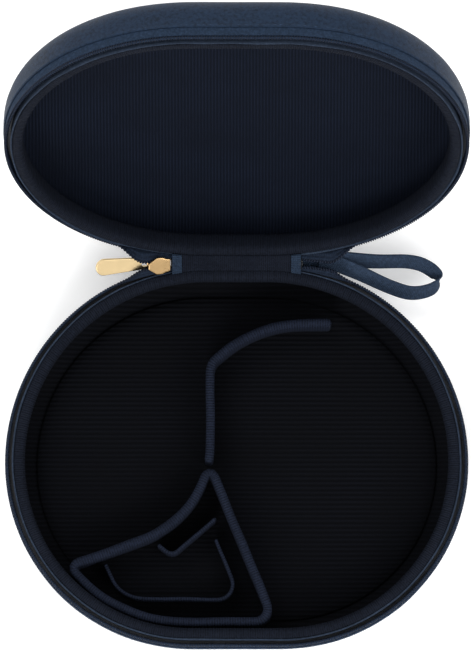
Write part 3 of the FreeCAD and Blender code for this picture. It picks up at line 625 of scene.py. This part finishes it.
def rim_stitches(lid, body):
    """Row of stitches just below the shell's folded edge, all round."""
    count = round(LENGTH / STITCH_PITCH)
    frames = []
    row = FABRIC_TOP + 0.95
    for index in range(count):
        s = np.array([LENGTH * index / count])
        here = rim(s, 0.02, row, lid)[0]
        ahead = rim(s + 0.5, 0.02, row, lid)[0]
        deeper = rim(s, 0.02, row + 1.0, lid)[0]
        outer = rim(s, -1.0, row, lid)[0]
        along = (ahead - here) / np.linalg.norm(ahead - here)
        frames.append((here, along, deeper - here, (outer - here) / np.linalg.norm(outer - here)))
    piece = stitches(of_half(lid, "rim_stitches"), frames)
    node = of_half(lid, "seam_thread")
    return dressed(piece, THREAD_LOOK, body, "thread", node)


shell("base_shell_cloth", BASE_DEPTH, False, "base")
shell("lid_shell_cloth", LID_DEPTH, True, "lid")
liner("base_lining", BASE_DEPTH, False, "base", BASE_LINING, "base_lining")
liner("lid_lining", LID_DEPTH, True, "lid", LID_LINING, "lid_lining")
for is_lid, rides in ((False, "base"), (True, "lid")):
    collar(is_lid, rides)
    lip(is_lid, rides)
    tape_band(is_lid, rides)
    coil(is_lid, rides)
    coil_core(is_lid, rides)
    rim_stitches(is_lid, rides)


# ---- the fold: hinge cloth, zip ends and gussets ----
HALF_OPEN = OPEN_ANGLE / 2
ACROSS = np.array([0.0, math.sin(HALF_OPEN), math.cos(HALF_OPEN)])     # along the fold, base to lid
INWARDS = np.array([0.0, -math.cos(HALF_OPEN), math.sin(HALF_OPEN)])   # from the fold into the case
FOLD = np.array([0.0, BACK_RADIUS, SPLIT_Z])
PARTING = 42.0                 # beyond this x the two chain halves part
STOP_X = 30.6
GARAGE = (25.9, 30.7)          # x range of the woven cover over each zip stop


def smooth(t):
    t = np.clip(t, 0, 1)
    return t * t * (3 - 2 * t)


def parted(x, inset, depth, lid):
    """Points of a zip half near the fold, which turn from the fold's middle to their own half."""
    x = np.asarray(x, float)
    depth = np.broadcast_to(depth, x.shape)
    y = np.sqrt((BACK_RADIUS - inset) ** 2 - np.clip(np.abs(x) - BACK_X, 0, None) ** 2)
    own = OPEN_ANGLE if lid else 0.0
    at_fold = 1 - smooth((np.abs(x) - PARTING) / (CHAIN_GAP - PARTING))
    near_chain = 1 - smooth((depth - 3.0) / 3.2)
    angle = own + (HALF_OPEN - own) * at_fold * near_chain
    z = SPLIT_Z + depth if lid else SPLIT_Z - depth
    return opened(np.stack([x, y, z], -1), angle)


def follow_fold(piece, lid):
    """Bakes a zip end's placement into its mesh; its points already go with its own half at one edge and
    with the fold's middle at the other.
    """
    if lid:
        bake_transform(piece)
    else:
        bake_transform(piece)


def zip_end(side, lid):
    """Coil and tape of one zip half between the fold and where its main run starts."""
    hand = "right" if side > 0 else "left"
    word = of_half(lid, hand)
    length = CHAIN_GAP - STOP_X
    turns = int(length / COIL_PITCH)
    steps = np.arange(turns * 9 + 1)
    phase = steps / 9
    x = side * (STOP_X + (phase + (0.5 if lid else 0)) * COIL_PITCH)
    angle = 2 * math.pi * phase
    path = parted(x, COIL_MIDDLE[0] + 0.62 * np.cos(angle), COIL_MIDDLE[1] + 0.72 * np.sin(angle), lid)
    coil_piece = tube_along(word + "_coil_end", path, 0.6, 0.48, (1.0, 0.0, 0.0), 5)
    dressed(coil_piece, COIL_LOOK, None, "coil", of_half(lid, "zip_tail_" + hand))
    follow_fold(coil_piece, lid)

    cord_x = side * np.linspace(STOP_X - 0.5, CHAIN_GAP + 1.0, 36)
    cord = parted(cord_x, COIL_MIDDLE[0], COIL_MIDDLE[1], lid)
    cord_piece = tube_along(word + "_cord_end", cord, 0.95, 0.95, (1.0, 0.0, 0.0), 7)
    dressed(cord_piece, GUSSET_CLOTH, None, "tape")
    follow_fold(cord_piece, lid)

    profile = np.array([(1.35, 2.3), (0.75, 2.5), (0.72, 3.2), (0.7, 4.4), (0.7, 5.6), (0.7, 6.9),
                        (0.7, 8.6), (1.3, 8.6), (1.3, 6.9), (1.3, 5.6), (1.3, 4.4), (1.3, 3.2)])
    xs = side * np.linspace(HINGE_HALF - 1.5, CHAIN_GAP + 0.6, 30)
    grid_x = np.repeat(xs[:, None], len(profile), 1)
    points = parted(grid_x, profile[None, :, 0], profile[None, :, 1], lid)
    v = np.arange(len(profile) + 1) * 0.9 * MM
    tape_piece = grid_object(word + "_tape_end", points, False, True, u=np.abs(np.append(xs, 0)) * MM, v=v)
    dressed(tape_piece, GUSSET_CLOTH, None, "tape")
    follow_fold(tape_piece, lid)


def band_rows(s, inset, sink):
    """Rows of one face of the hinge band, which dips by sink between the two rims."""
    depths = (9.5, 7.5, 5.5, 3.6, 2.0)
    base_side = [rim(s, inset, depth, False) for depth in depths]
    lid_side = [rim(s, inset, depth, True) for depth in depths]
    base_top, lid_top = base_side[-1], lid_side[-1]
    middle = (base_top + lid_top) / 2 + INWARDS * sink
    fold_rows = [base_top * 0.25 + lid_top * 0.02 + middle * 0.73, middle + INWARDS * 0.1,
                 lid_top * 0.25 + base_top * 0.02 + middle * 0.73]
    return base_side + fold_rows + lid_side[::-1]


def hinge_band():
    """Woven outer hinge from inside the base's shell, round the fold, to inside the lid's shell."""
    s = np.linspace(-arc_at(HINGE_HALF), arc_at(HINGE_HALF), 46)
    points = np.stack(band_rows(s, 0.68, 1.0) + band_rows(s, 1.28, 1.6)[::-1], 1)
    v = np.arange(points.shape[1] + 1) * 1.6 * MM
    piece = grid_object("hinge_band", points, False, True, u=np.append(s, s[-1] + 1) * MM, v=v)
    dressed(piece, HINGE_CLOTH, None, "tape", "base_hinge_leaf", "lid_hinge_leaf")
    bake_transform(piece)


def inner_cloth(name, start, end, lift, material, *nodes):
    """Ribbed cloth that closes the fold inside, from collar to collar, from start to end of the rim."""
    rib = 0.95
    s = np.arange(start, end, rib / 5)
    lower, upper = rim(s, 4.5, 0.15, False), rim(s, 4.5, 0.15, True)
    ribs = (0.5 + 0.5 * np.cos(2 * math.pi * s / rib))[:, None] * 0.16
    wander = (0.25 * np.sin(s * 0.13) + 0.15 * np.sin(s * 0.31 + 1))[:, None]
    top, under = [], []
    for t in np.linspace(0, 1, 13):
        creases = 0.5 * math.exp(-((t - 0.5) / 0.09) ** 2) + 0.35 * math.exp(-((t - 0.16) / 0.06) ** 2)
        crown = 1.0 - (2 * t - 1) ** 2
        spot = lower + (upper - lower) * t
        top.append(spot + INWARDS * (lift + crown * 0.55 + ribs - creases + wander * crown * 0.5))
        under.append(spot + INWARDS * (lift + crown * 0.4 - 0.75))
    points = np.stack(top + under[::-1], 1)
    v = np.arange(points.shape[1] + 1) * 0.55 * MM
    piece = grid_object(name, points, False, True, u=np.append(s, s[-1] + 1) * MM, v=v)
    dressed(piece, material, None, "tape", *nodes)
    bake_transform(piece)


# ---- wrist strap ----
STRAP_LINE = ((38.8, 94.8, 31.3), (44.5, 94.6, 29.8), (50.9, 94.4, 28.0), (64.9, 94.0, 23.7),
              (79.7, 94.4, 19.1), (88.1, 92.3, 16.5), (93.8, 87.3, 14.6), (91.2, 82.2, 15.5),
              (81.8, 79.8, 18.4), (71.4, 82.3, 21.6), (56.5, 88.6, 26.0), (47.5, 92.0, 28.7),
              (43.5, 93.3, 30.0), (38.8, 94.0, 31.6))
STRAP_WIDE = 8.0
STRAP_THICK = 1.1


def spline(points, count):
    """Evenly spaced points on a smooth curve through the given ones."""
    points = np.array(points, float)
    padded = np.vstack([2 * points[0] - points[1], points, 2 * points[-1] - points[-2]])
    dense = []
    for index in range(1, len(padded) - 2):
        a, b, c, d = padded[index - 1:index + 3]
        for t in np.linspace(0, 1, 24, endpoint=False):
            dense.append(0.5 * (2 * b + (c - a) * t + (2 * a - 5 * b + 4 * c - d) * t ** 2
                                + (3 * b - a - 3 * c + d) * t ** 3))
    dense.append(points[-1])
    dense = np.array(dense)
    lengths = np.concatenate([[0], np.cumsum(np.linalg.norm(np.diff(dense, axis=0), axis=1))])
    wanted = np.linspace(0, lengths[-1], count)
    return np.stack([np.interp(wanted, lengths, dense[:, axis]) for axis in range(3)], 1), wanted


def ribbon(name, path, lengths, wide, thick, across):
    """Flat webbing with rounded selvedges that stand slightly proud of its middle."""
    tangent = np.gradient(path, axis=0)
    tangent /= np.linalg.norm(tangent, axis=1)[:, None]
    across = across - tangent * np.sum(across * tangent, 1)[:, None]
    across /= np.linalg.norm(across, axis=1)[:, None]
    normal = np.cross(tangent, across)
    half = wide / 2
    left = [(-half, 0.0), (-half + 0.12, 0.42), (-half + 0.5, 0.55), (-half + 0.95, 0.5),
            (-half + 1.3, 0.38), (-half / 2, 0.44)]
    upper = left + [(0, 0.46)] + [(-a, b) for a, b in left[::-1]]
    lower = [(a, -b) for a, b in upper[-2:0:-1]]
    section = np.array(upper + lower)
    points = path[:, None] + across[:, None] * section[None, :, :1]
    points = points + normal[:, None] * section[None, :, 1:] * thick
    v = np.concatenate([[0], np.cumsum(np.hypot(*np.diff(section, axis=0).T)), [2 * wide]]) * MM
    return grid_object(name, points, False, True, u=np.append(lengths, lengths[-1] + 1) * MM, v=v)


def wrist_strap():
    path, lengths = spline(STRAP_LINE, 150)
    hang = np.array([0.29, 0.0, 0.957])
    across = ACROSS + 0.4 * hang * smooth((path[:, 0] - 42.0) / 30.0)[:, None]
    piece = ribbon("wrist_strap_webbing", path, lengths, STRAP_WIDE, STRAP_THICK, across)
    dressed(piece, WEBBING, "strap", "strap_rubber", "wrist_strap")


def strap_tab():
    """The strap's two ends, one on the other, sewn down outside the fold."""
    start, end = HINGE_HALF + 2.6, HINGE_HALF + 12.4
    lengths = np.linspace(start, end, 14)
    for layer, standoff in (("inner", 0.9), ("outer", 1.95)):
        path = FOLD - INWARDS * standoff + np.stack([lengths, 0 * lengths, 0 * lengths], 1)
        across = np.repeat(ACROSS[None], len(lengths), 0)
        piece = ribbon("strap_tab_" + layer, path, lengths, STRAP_WIDE, 0.95, across)
        nodes = ("strap_anchor",) if layer == "inner" else ()
        dressed(piece, WEBBING, "fold", "tape", *nodes)
    frames = []
    for index in range(15):
        place = FOLD - INWARDS * 2.6 + ACROSS * (index - 7) * 0.42
        place = place + np.array([HINGE_HALF + 7.5 + (0.35 if index % 2 else -0.35), 0, 0])
        along = np.array([0.94, 0, 0]) + ACROSS * (0.34 if index % 2 else -0.34)
        frames.append((place, along, np.cross(along, INWARDS), -INWARDS))
    tack = stitches("strap_tack_stitches", frames, 2.2, 0.4, 0.4)
    dressed(tack, THREAD_LOOK, "fold", "thread", "strap_bartack")


hinge_band()
inner_cloth("hinge_knit_strip", -arc_at(HINGE_HALF + 0.5), arc_at(HINGE_HALF + 0.5), 0.0, KNIT_CLOTH,
            "hinge_inner_strip")
inner_cloth("garage_right", arc_at(GARAGE[0]), arc_at(GARAGE[1]), 0.8, GARAGE_CLOTH)
inner_cloth("garage_left", -arc_at(GARAGE[1]), -arc_at(GARAGE[0]), 0.8, GARAGE_CLOTH)
for hand in (-1, 1):
    for is_lid in (False, True):
        zip_end(hand, is_lid)
wrist_strap()
strap_tab()


# ---- divider insert ----
def rounded(corners, closed, step=1.6):
    """Points and unit left normals along lines joined by arcs, from (x, y, radius) corners."""
    points = []
    count = len(corners)
    for index, (x, y, radius) in enumerate(corners):
        here = np.array([x, y])
        if not closed and index in (0, count - 1):
            points.append(here)
            continue
        before = np.array(corners[index - 1][:2])
        after = np.array(corners[(index + 1) % count][:2])
        into = (here - before) / np.linalg.norm(here - before)
        out = (after - here) / np.linalg.norm(after - here)
        turn = math.atan2(into[0] * out[1] - into[1] * out[0], into @ out)
        reach = radius * math.tan(abs(turn) / 2)
        centre = here - into * reach + np.array([-into[1], into[0]]) * radius * np.sign(turn)
        spoke = here - into * reach - centre
        for part in np.linspace(0, turn, max(3, int(abs(turn) * radius / step) + 2)):
            cos, sin = math.cos(part), math.sin(part)
            points.append(centre + np.array([[cos, -sin], [sin, cos]]) @ spoke)
    if closed:
        points.append(points[0])
    points = np.array(points)
    lengths = np.concatenate([[0], np.cumsum(np.linalg.norm(np.diff(points, axis=0), axis=1))])
    wanted = np.linspace(0, lengths[-1], int(lengths[-1] / step) + 2)
    even = np.stack([np.interp(wanted, lengths, points[:, axis]) for axis in range(2)], 1)
    if closed:
        even = even[:-1]
        tangent = np.roll(even, -1, 0) - np.roll(even, 1, 0)
    else:
        tangent = np.gradient(even, axis=0)
    tangent /= np.linalg.norm(tangent, axis=1)[:, None]
    return even, np.stack([-tangent[:, 1], tangent[:, 0]], -1), wanted


def close_ends(plan, left, lengths, half):
    """Adds rows near both ends of an open line, so that they can round off."""
    near = half * np.array([0, 0.04, 0.14, 0.32, 0.6, 1.0])
    between = lengths[(lengths > near[-1]) & (lengths < lengths[-1] - near[-1])]
    wanted = np.concatenate([near, between, (lengths[-1] - near)[::-1]])
    plan, left = (np.stack([np.interp(wanted, lengths, line[:, axis]) for axis in range(2)], -1)
                  for line in (plan, left))
    return plan, left, wanted


def wall(name, corners, closed, half, height, seed, node, soft=0.25):
    """An upright padded wall on the floor pad, rounded on top and softly uneven."""
    plan, left, lengths = rounded(corners, closed)
    if not closed:
        plan, left, lengths = close_ends(plan, left, lengths, half)
    top = half * 0.95
    flank = [(half, 0.02), (half, height * 0.35), (half + 0.05, height * 0.7), (half, height - top * 1.1)]
    section = [(-out, level) for out, level in flank]
    for angle in np.linspace(math.pi * 0.92, math.pi * 0.08, 7):
        section.append((half * math.cos(angle), height - top + top * math.sin(angle)))
    section = np.array(section + flank[::-1])
    rows = len(plan)
    side = np.repeat(section[None, :, 0], rows, 0)
    rise = np.repeat(section[None, :, 1], rows, 0)
    s = lengths[:rows, None]
    share = rise / height
    side = side + soft * share * (np.sin(s * 0.11 + seed) * 0.6 + np.sin(s * 0.27 + 2 * seed) * 0.4)
    rise = rise + soft * share ** 4 * np.sin(s * 0.17 + seed)
    if not closed:
        ends = np.minimum(lengths, lengths[-1] - lengths)[:rows, None]
        shrink = np.sqrt(np.clip(1 - (1 - np.clip(ends / half, 0, 1)) ** 2, 0.02, 1))
        side = side * shrink
        rise = rise * (1 - 0.06 * (1 - shrink) * share)
    spots = plan[:, None] + left[:, None] * side[..., None]
    points = np.concatenate([spots, (PAD_TOP + rise)[..., None]], -1)
    piece = grid_object(name, points, closed, True, u=np.append(lengths[:rows], lengths[-1] + 1) * MM,
                        v=np.arange(len(section) + 1) * MM * height / 8)
    dressed(piece, DIVIDER_CLOTH, "base", "base_lining", node)


def floor_pad():
    """Thin brushed pad that covers the base's floor under the divider."""
    s = stations(4.0)
    low = wall_profile(WALL, BASE_DEPTH)[-1][0] + 0.3
    profile = [(80.0, 25.9), (40.0, 25.9), (low, 25.9), (low - 0.1, 25.2), (low + 0.5, 24.6)]
    profile += [(inset, 24.42) for inset in (19.0, 25.0, 32.0, 40.0, 50.0, 60.0, 70.0, 80.0)]

    def shift(s, corner):
        raised = np.where(corner >= 5, 1.0, 0.0)
        return 0 * s * corner, raised * 0.12 * np.sin(s * 0.05 + corner * 1.7)

    piece = swept("floor_pad_cloth", profile, s, False, False, (True, True), shift)
    dressed(piece, BASE_LINING, "base", "base_lining", "insert_floor_pad")


# Plan lines of the walls, as (x, y, radius) corners.
BOX_LINE = ((-12.7, -0.2, 2.4), (-22.3, -27.9, 47.5), (-77.5, -48.0, 2.8), (-55.3, -74.1, 65.4),
            (17.5, -74.1, 6.0))
STEM_LINE = ((-13.1, 0.0, 0.0), (-12.3, 5.5, 47.5), (-12.3, 46.1, 8.0), (10.3, 65.0, 57.0),
             (44.0, 65.0, 0.0))
POCKET_LINE = ((-61.0, -46.5, 0.0), (-53.0, -62.9, 16.0), (1.5, -62.9, 7.0), (-9.5, -34.9, 0.0))
ADAPTER_LINE = ((-36.5, -37.5, 0.0), (-30.0, -43.0, 4.0), (-9.6, -25.5, 0.0))

floor_pad()
wall("box_wall_cloth", BOX_LINE, True, 2.0, 20.4, 1.0, "box_wall_cover")
wall("stem_wall_cloth", STEM_LINE, False, 2.0, 20.4, 2.6, "stem_wall_cover")
wall("pocket_wall_cloth", POCKET_LINE, False, 0.8, 11.5, 4.1, "cable_pocket_rim", 0.3)
wall("adapter_wall_cloth", ADAPTER_LINE, False, 0.8, 14.0, 5.3, "adapter_pocket_wall", 0.2)


# ---- slider body ----
SLIDER_X = -36.3
# Outlines on the slider, as (away from the hinge, up, radius) corners.
PLATE_CORNERS = ((5.2, -1.3, 0.8), (5.2, 1.3, 0.8), (1.2, 4.2, 1.2), (-1.4, 4.2, 0.8),
                 (-3.0, 3.4, 0.5), (-5.2, 3.0, 0.5), (-5.2, -3.0, 0.5), (-3.0, -3.4, 0.5),
                 (-1.4, -4.2, 0.8), (1.2, -4.2, 1.2))
POST_CORNERS = ((4.6, -0.65, 0.4), (4.6, 0.65, 0.4), (2.4, 0.65, 0.4), (2.4, -0.65, 0.4))
UPPER_FLANGE = ((1.5, 3.15, 0.1), (1.5, 3.85, 0.3), (-2.2, 3.85, 0.3), (-2.2, 3.15, 0.1))
LOWER_FLANGE = tuple((x, -y, radius) for x, y, radius in UPPER_FLANGE[::-1])


def on_slider(flat, out):
    """Points drawn on the slider (away from the hinge, up, outwards) placed at rest on the fold."""
    aside = abs(SLIDER_X) - BACK_X
    lean = -math.asin(aside / BACK_RADIUS)
    chain_y = math.sqrt((BACK_RADIUS - COIL_MIDDLE[0]) ** 2 - aside ** 2)
    x = SLIDER_X - flat[:, 0] * math.cos(lean) + out * math.sin(lean)
    y = chain_y + flat[:, 0] * math.sin(lean) + out * math.cos(lean)
    return opened(np.stack([x, y, SPLIT_Z + flat[:, 1]], -1), HALF_OPEN)


def slider_piece(name, corners, low, high, edge, *nodes):
    """A cast piece of the slider between two levels, with rounded edges of the given size."""
    line, inward, _ = rounded(corners, True, 0.3)
    levels = [(3.5 * edge, low), (edge, low), (0.3 * edge, low + 0.3 * edge), (0.0, low + edge),
              (0.0, high - edge), (0.3 * edge, high - 0.3 * edge), (edge, high), (3.5 * edge, high)]
    points = np.stack([on_slider(line + inward * inset, out) for inset, out in levels], 1)
    piece = grid_object(name, points, True, False, (True, True))
    dressed(piece, SLIDER_METAL, "slider", "slider_metal", *nodes)


slider_piece("slider_outer_plate", PLATE_CORNERS, 1.3, 2.15, 0.22, "slider_body")
slider_piece("slider_inner_plate", PLATE_CORNERS, -2.15, -1.3, 0.22)
slider_piece("slider_post", POST_CORNERS, -1.6, 1.6, 0.1)
for word, flange in (("upper", UPPER_FLANGE), ("lower", LOWER_FLANGE)):
    slider_piece("slider_" + word + "_outer_flange", flange, 0.7, 1.7, 0.1)
    slider_piece("slider_" + word + "_inner_flange", flange, -1.7, -0.7, 0.1)


# ---- CAD pieces that stay as they are: metal, plastic and the foam under the cloth ----
KEPT = ((CLIP_LOOK, ("zip_stop_left", "zip_stop_right")),
        (PULL_METAL, ("slider_bail", "pull_tab")),
        (FOAM_LOOK, ("base_foam_shell", "lid_foam_shell", "base_collar_core", "lid_collar_core",
                     "box_wall_core", "stem_wall_core")))
for look, nodes in KEPT:
    for node in nodes:
        frame["nodes"][node].data.materials.clear()
        frame["nodes"][node].data.materials.append(look)


# ---- floor, light and camera ----
WORLD_LIGHT = 0.85
KEY_LIGHT = 8.0
FILL_LIGHT = 8.0
FRONT_LIGHT = 12.0
CAMERA_TARGET = (-0.0003, 0.0642, 0.020)
CAMERA_ELEVATION = 84.0
CAMERA_DISTANCE = 9.5
VIEW_HEIGHT = 0.3031


def studio_floor():
    bpy.ops.mesh.primitive_plane_add(size=6.0, location=(0, 0, -0.0002))
    floor = bpy.context.object
    floor.name = "floor"
    make = Nodes("floor_paper")
    grain = make.noise(make.position(), 300.0, 2.0, 0.5)
    tone = make.mixed(make.spread(grain, 0.3, 0.7), (0.93, 0.93, 0.93), (0.96, 0.96, 0.96))
    floor.data.materials.append(make.finish(tone, 0.9, emission_strength=0.2))


def area_light(name, place, target, size, power, tint=(1.0, 1.0, 1.0)):
    light = bpy.data.lights.new(name, "AREA")
    light.shape = "DISK"
    light.size = size
    light.energy = power
    light.color = tint
    lamp = bpy.data.objects.new(name, light)
    lamp.location = place
    lamp.rotation_euler = (Vector(target) - Vector(place)).to_track_quat("-Z", "Y").to_euler()
    bpy.context.scene.collection.objects.link(lamp)


def studio_light():
    world = bpy.data.worlds.new("studio")
    world.use_nodes = True
    background = world.node_tree.nodes["Background"]
    background.inputs["Color"].default_value = (1.0, 1.0, 1.0, 1.0)
    background.inputs["Strength"].default_value = WORLD_LIGHT
    bpy.context.scene.world = world
    middle = (0.0, 0.07, 0.03)
    area_light("key", (-0.5, 0.75, 1.25), middle, 0.8, KEY_LIGHT)
    area_light("fill", (0.8, -0.5, 1.0), middle, 0.9, FILL_LIGHT)
    area_light("front", (-0.3, -1.1, 0.8), middle, 0.8, FRONT_LIGHT)


def camera():
    target = Vector(CAMERA_TARGET)
    elevation = math.radians(CAMERA_ELEVATION)
    lens = bpy.data.cameras.new("camera")
    lens.sensor_width = 24.0
    lens.lens = lens.sensor_width * CAMERA_DISTANCE / VIEW_HEIGHT
    lens.clip_end = 40.0
    eye = bpy.data.objects.new("camera", lens)
    eye.location = target + Vector((0, -math.cos(elevation), math.sin(elevation))) * CAMERA_DISTANCE
    eye.rotation_euler = (math.pi / 2 - elevation, 0, 0)
    bpy.context.scene.collection.objects.link(eye)
    bpy.context.scene.camera = eye


studio_floor()
studio_light()
camera()
bpy.context.scene.view_settings.view_transform = "Standard"
